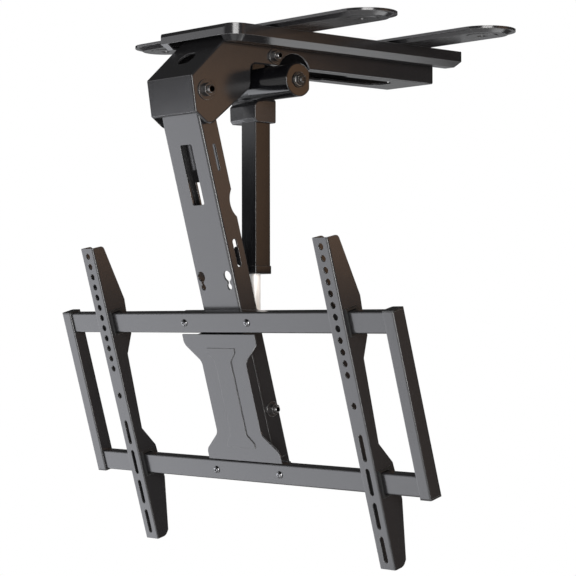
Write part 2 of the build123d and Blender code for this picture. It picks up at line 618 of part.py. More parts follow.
def bracket_glides(x):
    """Plastic linings in a bracket's cut-outs, which slide on the rails."""
    half = GLIDE_WIDTH / 2
    reach = RAIL_HEIGHT / 2 + RAIL_CLEARANCE
    linings = []
    for z in rail_z:
        lining = block((x - half, x + half), GLIDE_DEPTH, (z - GLIDE_HEIGHT / 2, z + GLIDE_HEIGHT / 2))
        lining -= block((x - half - 1, x + half + 1), (RAIL_FRONT - RAIL_CLEARANCE, rail_rear + RAIL_CLEARANCE),
                        (z - reach, z + reach))
        linings.append(lining)
    return Compound(linings)


def gear_housing():
    """The cast gear box: a wide foot, a worm housing in front and the top eye."""
    left, right = GEAR_SIDES
    front, rear = actuator_y + GEAR_FACES[0], actuator_y + GEAR_FACES[1]
    foot = block((left, right), (front, rear), (GEAR_BOTTOM, GEAR_TOP))
    foot = fillet(foot.edges().filter_by(Axis.Z), GEAR_CORNER)
    foot = chamfer(foot.edges().group_by(Axis.Z)[0], 2.0)
    high, low = GEAR_TOP + GEAR_BEVEL, GEAR_TOP - 2 * GEAR_BEVEL
    foot -= side_prism([(front - GEAR_BEVEL, low), (front - GEAR_BEVEL, high), (front + 2 * GEAR_BEVEL, high)],
                       left - 1, right + 1)
    foot -= front_prism([(left - GEAR_BEVEL, low), (left - GEAR_BEVEL, high), (left + 2 * GEAR_BEVEL, high)],
                        front - 1, rear + 1)
    neck_top = GEAR_TOP + 16
    base = Pos(0, actuator_y, GEAR_TOP) * RectangleRounded(2 * (right - 4), NECK_DEPTH - 2.4, 3)
    crown = Pos(0, actuator_y, neck_top) * RectangleRounded(2 * NECK_HALF, NECK_DEPTH, 3)
    body = foot + loft([base, crown])
    body += block((-NECK_HALF, NECK_HALF), (actuator_y - NECK_DEPTH / 2, actuator_y + NECK_DEPTH / 2),
                  (neck_top - 1, ACTUATOR_TOP))
    body += rod_x(NECK_DEPTH / 2, -NECK_HALF, NECK_HALF, actuator_y, ACTUATOR_TOP)
    body += rod_x(MOTOR_RADIUS - 4, 2, right, *MOTOR_AXIS)
    return body - rod_x(ACTUATOR_BOLT[0] / 2 + PIVOT_FIT, -60, 60, actuator_y, ACTUATOR_TOP)


def motor_housing():
    """A round motor case along X, flat on the side that folds up to the plate."""
    y, z = MOTOR_AXIS
    body = rod_x(MOTOR_RADIUS, MOTOR_START, MOTOR_END, y, z)
    body = fillet(body.edges().group_by(Axis.X)[-1], 1.5)
    return body - block((MOTOR_START - 1, MOTOR_END + 1), (y + MOTOR_FLAT, y + 40), (z - 40, z + 40))


def motor_end_bolt():
    """The long bolt that clamps the motor case: washer, nut and bare end."""
    y, z = MOTOR_AXIS
    shank, radius, across = MOTOR_BOLT
    body = rod_x(radius, MOTOR_END, MOTOR_END + WASHER_THICKNESS, y, z)
    nut_end = MOTOR_END + WASHER_THICKNESS + 5.0
    body += hexagon_x(across, MOTOR_END + WASHER_THICKNESS, nut_end, y, z)
    return body + rod_x(shank / 2, nut_end - 1, nut_end + 3, y, z)


def outer_tube():
    tube_x, tube_y = TUBE_SECTION
    x = (TUBE_OFFSET - tube_x / 2, TUBE_OFFSET + tube_x / 2)
    y = (actuator_y - tube_y / 2, actuator_y + tube_y / 2)
    return hollow_bar(x, y, (TUBE_BOTTOM + 3, GEAR_BOTTOM), OUTER_TUBE_WALL, Axis.Z, 3.0)


def tube_collar():
    """The plastic end cap that guides the rod."""
    tube_x, tube_y = TUBE_SECTION
    step = COLLAR_STEP
    x = (TUBE_OFFSET - tube_x / 2 - step, TUBE_OFFSET + tube_x / 2 + step)
    y = (actuator_y - tube_y / 2 - step, actuator_y + tube_y / 2 + step)
    sleeve = block(x, y, (TUBE_BOTTOM, TUBE_BOTTOM + COLLAR_HEIGHT))
    sleeve = fillet(sleeve.edges().filter_by(Axis.Z), 3.5)
    inside = block((x[0] + step, x[1] - step), (y[0] + step, y[1] - step), (TUBE_BOTTOM + 3, 0))
    sleeve -= fillet(inside.edges().filter_by(Axis.Z), 3.0)
    guide = block((x[0] + 4, x[1] - 4), (y[0] + 4, y[1] - 4), (TUBE_BOTTOM + 1, TUBE_BOTTOM + 16))
    bore = Pos(TUBE_OFFSET, actuator_y, TUBE_BOTTOM) * Cylinder(ROD_RADIUS + ROD_CLEARANCE, 60)
    return sleeve + guide - bore


def push_rod():
    """The polished rod, hollow above for the screw that drives it."""
    low = rod_pivot_z + 14
    height = ROD_TOP - low
    rod = Pos(TUBE_OFFSET, actuator_y, low + height / 2) * Cylinder(ROD_RADIUS, height)
    rod = chamfer(rod.edges().group_by(Axis.Z)[-1], 1.0)
    bore = Cylinder(SCREW_RADIUS + 0.6, ROD_BORE_DEPTH)
    return rod - Pos(TUBE_OFFSET, actuator_y, ROD_TOP - ROD_BORE_DEPTH / 2) * bore


def drive_nut():
    """The nut on top of the rod that the screw carries up and down."""
    place = Pos(TUBE_OFFSET, actuator_y, ROD_TOP + 8)
    body = Cylinder(9.6, 16) - Cylinder(SCREW_RADIUS + SCREW_FIT, 18)
    return place * body


def lead_screw():
    """The screw that the gears turn, from the gear box down into the rod."""
    height = GEAR_BOTTOM - SCREW_END
    return Pos(TUBE_OFFSET, actuator_y, SCREW_END + height / 2) * Cylinder(SCREW_RADIUS, height)


def rod_eye():
    """The steel eye on the rod's lower end."""
    x0, x1 = TUBE_OFFSET - 9, TUBE_OFFSET + 9
    eye = rod_x(11, x0, x1, actuator_y, rod_pivot_z)
    neck = Pos(TUBE_OFFSET, actuator_y, rod_pivot_z + 9) * Cylinder(8.6, 10)
    body = eye + neck
    return body - rod_x(LOWER_BOLT[0] / 2, x0 - 1, x1 + 1, actuator_y, rod_pivot_z)


def rod_pin():
    """The sleeve through the eye, between the arm's cheeks."""
    reach = ARM_HALF - SHEET - 0.8
    pin = LOWER_BOLT[0] / 2
    body = rod_x(pin, -reach, reach, actuator_y, rod_pivot_z)
    left = spacer(-reach, TUBE_OFFSET - 9, actuator_y, rod_pivot_z, pin - 0.5, 2.5)
    right = spacer(TUBE_OFFSET + 9, reach, actuator_y, rod_pivot_z, pin - 0.5, 2.5)
    return body + left + right


def lower_bolts():
    """The bolt head and the nutted end on the arm's cheeks at the rod's pivot."""
    seat = SIDE_PLATE_OUTER + WASHER_THICKNESS
    inner = ARM_HALF - SHEET
    z = -PIVOT_TO_ROD
    shank, _, across = LOWER_BOLT
    head = hexagon_x(across, -seat - NUT_HEIGHT, -seat, 0, z)
    left = head + rod_x(shank / 2, -seat, -inner, 0, z)
    right = rod_x(shank / 2, inner, seat + NUT_HEIGHT + BOLT_TIP, 0, z)
    return Compound([left, chamfer(right.edges().group_by(Axis.X)[-1], 1.0)])


def build_root():
    for name, y in zip(("front_cross_arm", "rear_cross_arm"), STRAP_Y):
        keep(name, Pos(0, y, 0) * cross_arm())
    keep("ceiling_plate", ceiling_plate())
    keep("cross_arm_bolts", strap_bolts())
    keep("hinge_bracket", hinge_bracket())
    pivots = (("hinge", HINGE_BOLT, PIVOT, ARM_HALF + 0.1),
              ("actuator", ACTUATOR_BOLT, (actuator_y, ACTUATOR_TOP), NECK_HALF + 0.1))
    for name, fastener, (y, z), near in pivots:
        keep(name + "_bolt", pivot_bolt(BRACKET_HALF, fastener, y, z))
        keep(name + "_nut", pivot_nut(BRACKET_HALF, fastener, y, z))
        keep(name + "_washers", pivot_washers(BRACKET_HALF, fastener, y, z))
        far = BRACKET_HALF - SHEET
        bushes = [spacer(x0, x1, y, z, fastener[0] / 2) for x0, x1 in ((-far, -near), (near, far))]
        keep(name + "_spacers", Compound(bushes))


def build_arm():
    keep("swing_arm", swing_arm(), arm_frame)
    keep("arm_back_plates", arm_back_plates(), arm_frame)
    keep("frame_bracket", frame_bracket(), arm_frame)
    keep("cover_plate", cover_plate(), arm_frame)
    keep("top_rail", rail(rail_z[0]), arm_frame)
    keep("bottom_rail", rail(rail_z[1]), arm_frame)
    keep("left_side_tube", side_tube(-1), arm_frame)
    keep("right_side_tube", side_tube(1), arm_frame)
    keep("tube_caps", tube_caps(), arm_frame)
    keep("rail_screws", rail_screws(), arm_frame)
    keep("lower_pivot_bolt", lower_bolts(), arm_frame)
    keep("lower_pivot_nut", pivot_nut(SIDE_PLATE_OUTER, LOWER_BOLT, 0, -PIVOT_TO_ROD), arm_frame)
    keep("lower_pivot_washers", pivot_washers(SIDE_PLATE_OUTER, LOWER_BOLT, 0, -PIVOT_TO_ROD), arm_frame)


def build_brackets():
    for side, x in zip(("left", "right"), TV_BRACKET_X):
        keep(side + "_tv_bracket", tv_bracket(x), arm_frame)
        keep(side + "_bracket_glides", bracket_glides(x), arm_frame)


def build_actuator():
    keep("gear_housing", gear_housing())
    keep("motor_housing", motor_housing())
    keep("motor_end_bolt", motor_end_bolt())
    keep("outer_tube", outer_tube())
    keep("tube_collar", tube_collar())
    keep("lead_screw", lead_screw())
    keep("push_rod", push_rod())
    keep("drive_nut", drive_nut())
    keep("rod_eye", rod_eye())
    keep("rod_pin", rod_pin())


build_root()
build_arm()
build_brackets()
build_actuator()

os.makedirs("parts", exist_ok=True)
for name, shape in nodes.items():
    export_step(shape, "parts/" + name + ".step")
print(len(nodes), "pieces written")
print("rod pivot", round(actuator_y, 2), round(rod_pivot_z, 2), "stroke", STROKE_RETRACTED)
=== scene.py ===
# %% [markdown]
# # A motorized ceiling mount for a television
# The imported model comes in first. It is the fixed frame: every plate, tube and bolt
# of the real object already stands in it at its real size, in metres. From here on
# finishes, finer versions of some pieces, small fittings, light and a camera are
# added. Nothing is moved or resized.

# %% Load the frame
import bpy, bmesh, json, math
from mathutils import Vector, Matrix


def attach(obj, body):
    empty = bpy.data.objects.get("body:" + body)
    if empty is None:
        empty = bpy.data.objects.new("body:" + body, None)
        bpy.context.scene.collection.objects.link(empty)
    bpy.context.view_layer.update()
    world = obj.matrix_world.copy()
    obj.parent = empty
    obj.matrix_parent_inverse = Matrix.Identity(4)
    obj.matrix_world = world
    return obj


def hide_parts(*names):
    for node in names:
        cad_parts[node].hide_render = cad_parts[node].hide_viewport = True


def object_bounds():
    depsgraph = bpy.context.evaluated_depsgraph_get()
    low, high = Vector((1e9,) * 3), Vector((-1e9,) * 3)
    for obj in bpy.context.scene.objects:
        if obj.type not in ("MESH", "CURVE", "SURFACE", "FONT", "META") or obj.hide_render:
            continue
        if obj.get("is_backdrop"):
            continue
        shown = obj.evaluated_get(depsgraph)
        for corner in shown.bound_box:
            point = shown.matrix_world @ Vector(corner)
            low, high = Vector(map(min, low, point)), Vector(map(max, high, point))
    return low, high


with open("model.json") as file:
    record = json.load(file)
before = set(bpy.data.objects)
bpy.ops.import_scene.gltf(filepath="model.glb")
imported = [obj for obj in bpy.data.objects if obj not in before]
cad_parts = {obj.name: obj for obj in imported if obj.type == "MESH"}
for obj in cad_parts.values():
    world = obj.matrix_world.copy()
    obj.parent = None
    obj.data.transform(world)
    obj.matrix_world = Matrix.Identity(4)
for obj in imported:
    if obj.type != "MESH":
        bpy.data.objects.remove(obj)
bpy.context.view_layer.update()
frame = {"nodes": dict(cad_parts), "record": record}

# %% [markdown]
# ## Camera
# The photograph was solved for its camera: the straight edges of the frame, the hole
# rows and the cross arms give one place to stand, about 2.7 m away with a long lens,
# looking very slightly up. The same numbers go straight into the camera.

# %% Camera at the photograph's viewing angle
VIEW_AZIMUTH = math.radians(48.14)
VIEW_PITCH = math.radians(0.98)
VIEW_ROLL = math.radians(-0.07)
camera_data = bpy.data.cameras.new("camera")
camera_data.sensor_width, camera_data.lens, camera_data.clip_end = 36.0, 121.19, 60.0
camera = bpy.data.objects.new("camera", camera_data)
bpy.context.scene.collection.objects.link(camera)
bpy.context.scene.camera = camera
forward = Vector((-math.sin(VIEW_AZIMUTH) * math.cos(VIEW_PITCH),
                  math.cos(VIEW_AZIMUTH) * math.cos(VIEW_PITCH), math.sin(VIEW_PITCH)))
rolled = Matrix.Rotation(VIEW_ROLL, 3, "Z").to_quaternion()
camera.rotation_mode = "QUATERNION"
camera.rotation_quaternion = forward.to_track_quat("-Z", "Y") @ rolled
camera.location = (1.9907, -1.8442, -0.3888)
print("camera distance", round(camera.location.length, 3), "lens", camera_data.lens)

# %% [markdown]
# ## Light
# A dark satin coat shows mostly what it mirrors, so each lamp is a wide softbox that
# stands where one kind of face looks. The fronts lean forward and mirror a cool one
# low on the left and a fill lamp low in front. Upright fronts miss both and stay
# darker, under a weak lamp of their own. The right sides mirror two dim warm lamps.
# A tall lamp and a flat strip on the right draw the bright lines on rounded edges and
# on the plate's front corner. Three stand behind, level, low and high, for undersides
# and slopes that mirror them at a grazing angle, and a faint one hangs overhead.

# %% Softboxes
MOUNT_MIDDLE = (0.0, -0.05, -0.35)

def softbox(name, direction, distance, size, power, colour, aim=MOUNT_MIDDLE):
    """A lamp of a width and height that faces the point aim from a direction."""
    lamp = bpy.data.lights.new(name, "AREA")
    lamp.shape, lamp.energy, lamp.color = "RECTANGLE", power, colour
    lamp.size, lamp.size_y = size
    holder = bpy.data.objects.new(name, lamp)
    bpy.context.scene.collection.objects.link(holder)
    away = Vector(direction).normalized()
    holder.location = Vector(aim) + away * distance
    holder.rotation_mode = "QUATERNION"
    holder.rotation_quaternion = away.to_track_quat("Z", "Y")
    return holder

lamps = [
    softbox("front_softbox", (-0.83, -0.44, -0.335), 2.4, (2.2, 1.7), 41, (0.93, 0.945, 1.0)),
    softbox("upper_softbox", (-0.76, -0.58, 0.29), 2.4, (2.6, 0.6), 8, (0.97, 0.97, 1.0)),
    softbox("warm_softbox", (0.92, 0.395, 0.20), 1.5, (0.9, 0.5), 2.2, (1.0, 0.58, 0.32)),
    softbox("low_warm_softbox", (0.945, 0.30, -0.225), 1.5, (0.9, 0.6), 0.6, (1.0, 0.62, 0.38)),
    softbox("edge_softbox", (0.69, -0.70, -0.155), 3.2, (0.9, 2.0), 105, (1.0, 0.99, 0.98)),
    softbox("strip_softbox", (0.82, -0.56, 0.14), 3.2, (2.2, 0.40), 60, (1.0, 0.99, 0.98),
            aim=(0.1, -0.2, 0.0)),
    softbox("rear_softbox", (-0.74, 0.67, -0.02), 3.2, (3.0, 1.4), 3.6, (0.97, 0.98, 1.0)),
    softbox("low_rear_softbox", (0.02, 0.67, -0.745), 2.2, (2.0, 1.1), 16, (0.98, 0.99, 1.0)),
    softbox("top_softbox", (0.35, -0.45, 1.0), 3.4, (1.6, 1.6), 1, (1.0, 1.0, 1.0)),
    softbox("fill_softbox", (-0.05, -0.88, -0.50), 2.6, (1.8, 1.5), 22, (0.97, 0.98, 1.0)),
    softbox("back_softbox", (-0.10, 0.80, 0.60), 3.0, (2.6, 1.8), 45, (0.98, 0.99, 1.0)),
]
print("lamps", [lamp.name for lamp in lamps])

# %% [markdown]
# ## World and floor
# The background is pure white, but white all round would wash out dark paint. So the
# world's strength depends on the kind of ray: full where the camera looks, very dim
# where the paint mirrors it, and a soft grey for scattered light. The largest of them
# counts. The pale floor, far below the hanging mount, is lifted for the camera alone.

# %% World: white to the camera, dim to the object
RAY_LEVELS = {"Is Camera Ray": 1.0, "Is Transmission Ray": 1.0,
              "Is Glossy Ray": 0.05, "Is Diffuse Ray": 0.30}

def node(tree, kind, **values):
    """A node with some of its settings filled in."""
    made = tree.nodes.new(kind)
    for key, value in values.items():
        setattr(made, key, value)
    return made

world = bpy.data.worlds.new("studio")
bpy.context.scene.world = world
world.use_nodes = True
sky = world.node_tree
sky.nodes.clear()
path = node(sky, "ShaderNodeLightPath")
strength = None
for ray, amount in RAY_LEVELS.items():
    scaled = node(sky, "ShaderNodeMath", operation="MULTIPLY")
    scaled.inputs[1].default_value = amount
    sky.links.new(path.outputs[ray], scaled.inputs[0])
    if strength is None:
        strength = scaled
        continue
    larger = node(sky, "ShaderNodeMath", operation="MAXIMUM")
    sky.links.new(strength.outputs[0], larger.inputs[0])
    sky.links.new(scaled.outputs[0], larger.inputs[1])
    strength = larger
background = node(sky, "ShaderNodeBackground")
background.inputs["Color"].default_value = (1.0, 1.0, 1.0, 1.0)
sky.links.new(strength.outputs[0], background.inputs["Strength"])
world_out = node(sky, "ShaderNodeOutputWorld")
sky.links.new(background.outputs[0], world_out.inputs["Surface"])
bpy.context.scene.view_settings.view_transform = "Standard"
print("world levels", RAY_LEVELS)

# %% Pale floor
FLOOR_HEIGHT, FLOOR_LIFT = -2.3, 0.72
bpy.ops.object.select_all(action="DESELECT")
bpy.ops.mesh.primitive_plane_add(size=5.0, location=(0, 0, FLOOR_HEIGHT))
floor = bpy.context.active_object
floor.name = "floor"
floor_paint = bpy.data.materials.new("floor_paint")
floor_paint.use_nodes = True
floor_tree = floor_paint.node_tree
floor_shader = floor_tree.nodes["Principled BSDF"]
floor_shader.inputs["Base Color"].default_value = (0.8, 0.8, 0.8, 1.0)
floor_shader.inputs["Roughness"].default_value = 0.8
floor_shader.inputs["Emission Color"].default_value = (1.0, 1.0, 1.0, 1.0)
floor_seen = node(floor_tree, "ShaderNodeLightPath")
lift = node(floor_tree, "ShaderNodeMath", operation="MULTIPLY")
lift.inputs[1].default_value = FLOOR_LIFT
floor_tree.links.new(floor_seen.outputs["Is Camera Ray"], lift.inputs[0])
floor_tree.links.new(lift.outputs[0], floor_shader.inputs["Emission Strength"])
floor.data.materials.append(floor_paint)
floor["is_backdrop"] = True
print("floor at height", FLOOR_HEIGHT)

# %% [markdown]
# ## Finishes
# Sheet steel parts get a powder coat: a faint orange-peel bump, a little change in
# gloss from place to place, and edges that are slightly rounded and lighter in colour,
# partly thin worn paint and partly a painted highlight line. Several finishes need
# these three things, so they are made once as a node group with named sockets, and
# each material sets its own values.

# %% Node group: its sockets
coat = bpy.data.node_groups.new("coat_surface", "ShaderNodeTree")
for label, kind, value in (("Color", "NodeSocketColor", (0.03, 0.03, 0.03, 1)),
                           ("Edge Color", "NodeSocketColor", (0.1, 0.1, 0.1, 1)),
                           ("Edge Radius", "NodeSocketFloat", 0.0008),
                           ("Edge Wear", "NodeSocketFloat", 0.3),
                           ("Grain Scale", "NodeSocketFloat", 900.0),
                           ("Grain Depth", "NodeSocketFloat", 0.1),
                           ("Roughness", "NodeSocketFloat", 0.4),
                           ("Roughness Spread", "NodeSocketFloat", 0.06),
                           ("Tone Spread", "NodeSocketFloat", 0.1)):
    socket = coat.interface.new_socket(label, in_out="INPUT", socket_type=kind)
    socket.default_value = value
for label, kind in (("Color", "NodeSocketColor"), ("Roughness", "NodeSocketFloat"),
                    ("Normal", "NodeSocketVector")):
    coat.interface.new_socket(label, in_out="OUTPUT", socket_type=kind)
given = node(coat, "NodeGroupInput")
result = node(coat, "NodeGroupOutput")
place = node(coat, "ShaderNodeTexCoord")
print("coat_surface sockets", len(coat.interface.items_tree))

# %% Node group: rounded edges, lightened by worn paint and a painted highlight
EDGE_BEGINS, EDGE_FULL = 0.985, 0.80
rounded = node(coat, "ShaderNodeBevel", samples=4)
coat.links.new(given.outputs["Edge Radius"], rounded.inputs["Radius"])
flat = node(coat, "ShaderNodeNewGeometry")
facing = node(coat, "ShaderNodeVectorMath", operation="DOT_PRODUCT")
coat.links.new(rounded.outputs["Normal"], facing.inputs[0])
coat.links.new(flat.outputs["True Normal"], facing.inputs[1])
edge = node(coat, "ShaderNodeMapRange")
edge.inputs["From Min"].default_value = EDGE_BEGINS
edge.inputs["From Max"].default_value = EDGE_FULL
coat.links.new(facing.outputs["Value"], edge.inputs["Value"])
patches = node(coat, "ShaderNodeTexNoise")
patches.inputs["Scale"].default_value = 38.0
patches.inputs["Detail"].default_value = 4.0
coat.links.new(place.outputs["Object"], patches.inputs["Vector"])
# The edge mask gives rounded edges a lighter colour: partly worn paint, partly a painted highlight line.
patchy_edges = node(coat, "ShaderNodeMath", operation="MULTIPLY")
coat.links.new(edge.outputs["Result"], patchy_edges.inputs[0])
coat.links.new(patches.outputs["Fac"], patchy_edges.inputs[1])
wear_and_highlight_mask = node(coat, "ShaderNodeMath", operation="MULTIPLY", use_clamp=True)
coat.links.new(patchy_edges.outputs[0], wear_and_highlight_mask.inputs[0])
coat.links.new(given.outputs["Edge Wear"], wear_and_highlight_mask.inputs[1])
print("edge wear from", EDGE_BEGINS, "to", EDGE_FULL)

# %% Node group: tone and gloss from place to place
shift = node(coat, "ShaderNodeMath", operation="SUBTRACT")
shift.inputs[1].default_value = 0.5
coat.links.new(patches.outputs["Fac"], shift.inputs[0])
tone = node(coat, "ShaderNodeMath", operation="MULTIPLY_ADD")
tone.inputs[2].default_value = 1.0
coat.links.new(shift.outputs[0], tone.inputs[0])
coat.links.new(given.outputs["Tone Spread"], tone.inputs[1])
toned = node(coat, "ShaderNodeVectorMath", operation="SCALE")
coat.links.new(given.outputs["Color"], toned.inputs[0])
coat.links.new(tone.outputs[0], toned.inputs["Scale"])
paint = node(coat, "ShaderNodeMix", data_type="RGBA")
coat.links.new(wear_and_highlight_mask.outputs[0], paint.inputs["Factor"])
coat.links.new(toned.outputs["Vector"], paint.inputs["A"])
coat.links.new(given.outputs["Edge Color"], paint.inputs["B"])
coat.links.new(paint.outputs["Result"], result.inputs["Color"])
gloss = node(coat, "ShaderNodeMath", operation="MULTIPLY_ADD")
coat.links.new(shift.outputs[0], gloss.inputs[0])
coat.links.new(given.outputs["Roughness Spread"], gloss.inputs[1])
coat.links.new(given.outputs["Roughness"], gloss.inputs[2])
coat.links.new(gloss.outputs[0], result.inputs["Roughness"])
print("nodes so far", len(coat.nodes))

# %% Node group: orange peel
PEEL_HEIGHT = 0.0002
peel = node(coat, "ShaderNodeTexNoise")
peel.inputs["Detail"].default_value = 2.0
coat.links.new(place.outputs["Object"], peel.inputs["Vector"])
coat.links.new(given.outputs["Grain Scale"], peel.inputs["Scale"])
bump = node(coat, "ShaderNodeBump")
bump.inputs["Distance"].default_value = PEEL_HEIGHT
coat.links.new(given.outputs["Grain Depth"], bump.inputs["Strength"])
coat.links.new(peel.outputs["Fac"], bump.inputs["Height"])
coat.links.new(rounded.outputs["Normal"], bump.inputs["Normal"])
coat.links.new(bump.outputs["Normal"], result.inputs["Normal"])
print("coat_surface nodes", len(coat.nodes))

# %% [markdown]
# ## The paints and metals of the mount
# Each finish places the group in a material of its own. The sheet steel has satin
# powder coat, the drive's castings are a little rougher, its tube and motor are
# glossy, plastic parts are matt, the bolts are black zinc and the rod is bright steel,
# its pale colour partly a painted reflection of white surroundings.
# The paints' base colours are very dark: nearly all that one sees is reflection.

# %% Materials that use the group
def finish(name, colour, roughness, metallic=0.0, specular=0.5, **surface):
    """A Principled material whose colour, roughness and normal come from the group."""
    material = bpy.data.materials.new(name)
    material.use_nodes = True
    shader = material.node_tree.nodes["Principled BSDF"]
    shader.inputs["Metallic"].default_value = metallic
    shader.inputs["Specular IOR Level"].default_value = specular
    group = node(material.node_tree, "ShaderNodeGroup", node_tree=coat)
    group.inputs["Color"].default_value = (*colour, 1.0)
    group.inputs["Roughness"].default_value = roughness
    for key, value in surface.items():
        group.inputs[key.replace("_", " ").title()].default_value = value
    for socket, target in (("Color", "Base Color"), ("Roughness", "Roughness"), ("Normal", "Normal")):
        material.node_tree.links.new(group.outputs[socket], shader.inputs[target])
    return material

# The lighter edge colours below are partly worn paint and partly painted highlight lines.
finishes = {
    "black_coat": finish("powder_coat", (0.011, 0.0108, 0.0115), 0.20, specular=0.46,
                         edge_color=(0.30, 0.30, 0.30, 1), edge_wear=0.9, grain_scale=1400.0,
                         grain_depth=0.10, tone_spread=0.12),
    "cast_black": finish("painted_casting", (0.012, 0.012, 0.013), 0.24, specular=0.44,
                         edge_color=(0.10, 0.10, 0.10, 1), edge_wear=0.2, grain_scale=700.0,
                         grain_depth=0.16, edge_radius=0.0012),
    "black_tube": finish("gloss_tube_paint", (0.004, 0.004, 0.0045), 0.15, specular=0.34,
                         edge_color=(0.30, 0.30, 0.30, 1), edge_wear=0.9, grain_scale=1200.0,
                         grain_depth=0.05),
    "black_plastic": finish("moulded_plastic", (0.008, 0.008, 0.008), 0.40, specular=0.3,
                            edge_color=(0.04, 0.04, 0.04, 1), grain_scale=2200.0, grain_depth=0.2),
    "dark_steel": finish("black_zinc", (0.06, 0.058, 0.058), 0.30, metallic=0.8,
                         edge_color=(0.6, 0.6, 0.6, 1), edge_wear=1.2, edge_radius=0.0005,
                         grain_scale=1800.0, grain_depth=0.12),
    "plain_steel": finish("turned_steel", (0.42, 0.41, 0.40), 0.28, metallic=1.0,
                          edge_color=(0.6, 0.6, 0.6, 1), edge_radius=0.0004, grain_depth=0.08),
    # The rod's pale base colour is bright steel plus a painted reflection of white surroundings.
    "bright_rod": finish("pale_rod_painted_reflection", (0.80, 0.78, 0.75), 0.45, metallic=0.2,
                         edge_color=(0.8, 0.8, 0.8, 1), edge_radius=0.0003, grain_scale=2600.0,
                         grain_depth=0.02, roughness_spread=0.05),
    "motor_paint": finish("motor_paint", (0.002, 0.002, 0.0025), 0.13, specular=0.44,
                          edge_color=(0.10, 0.10, 0.10, 1), edge_wear=0.3, grain_scale=700.0,
                          grain_depth=0.06, edge_radius=0.0010),
    "black_zinc_dark": finish("black_zinc_dark", (0.02, 0.02, 0.02), 0.32, metallic=0.6,
                              edge_color=(0.3, 0.28, 0.25, 1), edge_wear=0.8, edge_radius=0.0004,
                              grain_scale=1800.0, grain_depth=0.12),
    "gloss_zinc": finish("gloss_zinc", (0.16, 0.16, 0.165), 0.10, metallic=1.0,
                         edge_color=(0.3, 0.3, 0.3, 1), edge_wear=0.6, edge_radius=0.0003,
                         grain_scale=1800.0, grain_depth=0.05),
}
print("finishes", sorted(finishes))

# %% Every node of the frame gets its finish
own_finish = {"motor_housing": "motor_paint", "rail_screws": "black_zinc_dark",
              "motor_end_bolt": "black_zinc_dark"}
slot_of = {part["node"]: part["material_slot"] for part in frame["record"]["subparts"]}
for name, piece in frame["nodes"].items():
    material = finishes[own_finish.get(name, slot_of[name])]
    if piece.material_slots:
        for place_in in piece.material_slots:
            place_in.material = material
    else:
        piece.data.materials.append(material)
print("finished nodes", len(slot_of))

# %% [markdown]
# ## Modelling by hand, in a few helpers
# The frame gives the sheet metal and tubes. What a plain model lacks are the pressed
# cover between the rails, the cast gear case, screw threads, screw heads and the
# pressed rings round the ceiling screws. Each of them starts from a primitive at its
# real size and is shaped in edit mode, as one would by hand. A few moves come again
# and again, so they are small helpers: add, pick by place, bisect, unite, hand over.

# %% Helpers that add a shape
def box_between(low, high):
    """A box between two corners, in metres, alone in the selection."""
    bpy.ops.object.select_all(action="DESELECT")
    bpy.ops.mesh.primitive_cube_add(size=1.0, location=[(a + b) / 2 for a, b in zip(low, high)],
                                    scale=[b - a for a, b in zip(low, high)])
    bpy.ops.object.transform_apply(location=True, rotation=True, scale=True)
    return bpy.context.active_object

def bar_along(axis, radius, start, end, across, sides=64):
    """A round bar along X, Y or Z; across gives its two other coordinates."""
    turn = {"X": (0, math.pi / 2, 0), "Y": (math.pi / 2, 0, 0), "Z": (0, 0, 0)}[axis]
    centre = list(across)
    centre.insert("XYZ".index(axis), (start + end) / 2)
    bpy.ops.object.select_all(action="DESELECT")
    bpy.ops.mesh.primitive_cylinder_add(vertices=sides, radius=radius, depth=end - start,
                                        location=centre, rotation=turn)
    bpy.ops.object.transform_apply(location=True, rotation=True, scale=True)
    return bpy.context.active_object

print("shapes to start from: box_between, bar_along")

# %% Helpers for edit mode
TINY = 1e-5

def edit(piece):
    """Opens a piece in edit mode."""
    bpy.context.view_layer.objects.active = piece
    bpy.ops.object.mode_set(mode="EDIT")

def close():
    """Back to object mode."""
    bpy.ops.object.mode_set(mode="OBJECT")

def pick(piece, kind, test):
    """In edit mode: selects only the faces, edges or corners whose middle passes the test."""
    bpy.ops.mesh.select_mode(type=kind)
    bpy.ops.mesh.select_all(action="DESELECT")
    mesh = bmesh.from_edit_mesh(piece.data)
    for part in {"FACE": mesh.faces, "EDGE": mesh.edges, "VERT": mesh.verts}[kind]:
        if kind == "VERT":
            centre = part.co
        else:
            centre = sum((corner.co for corner in part.verts), Vector()) / len(part.verts)
        if test(part, centre):
            part.select_set(True)
    mesh.select_flush_mode()
    bmesh.update_edit_mesh(piece.data)

def runs_along(edge, axis):
    """True for an edge that lies along X, Y or Z."""
    way = edge.verts[1].co - edge.verts[0].co
    return abs(way["XYZ".index(axis)]) > 0.99 * way.length

def cut_at(axis, *stations):
    """In edit mode: a ring of edges round the whole piece at each station."""
    for station in stations:
        point = [station if letter == axis else 0.0 for letter in "XYZ"]
        normal = [1.0 if letter == axis else 0.0 for letter in "XYZ"]
        bpy.ops.mesh.select_all(action="SELECT")
        bpy.ops.mesh.bisect(plane_co=point, plane_no=normal)

def move(*value):
    """In edit mode: moves what is selected."""
    bpy.ops.transform.translate(value=value)

def narrow(value, centre=(0, 0, 0)):
    """In edit mode: scales what is selected about a centre."""
    bpy.ops.transform.resize(value=value, center_override=centre)

print("moves: edit, pick, cut_at, move, narrow, close")

# %% Helpers that join, copy, lean and hand over
def unite(body, *others, cut=False):
    """The others are added to the body, or cut out of it, and are gone after that."""
    for other in others:
        bpy.ops.object.select_all(action="DESELECT")
        bpy.context.view_layer.objects.active = body
        joint = body.modifiers.new("unite", "BOOLEAN")
        joint.operation, joint.solver, joint.object = ("DIFFERENCE" if cut else "UNION"), "EXACT", other
        bpy.ops.object.modifier_apply(modifier="unite")
        bpy.data.objects.remove(other)
    return body

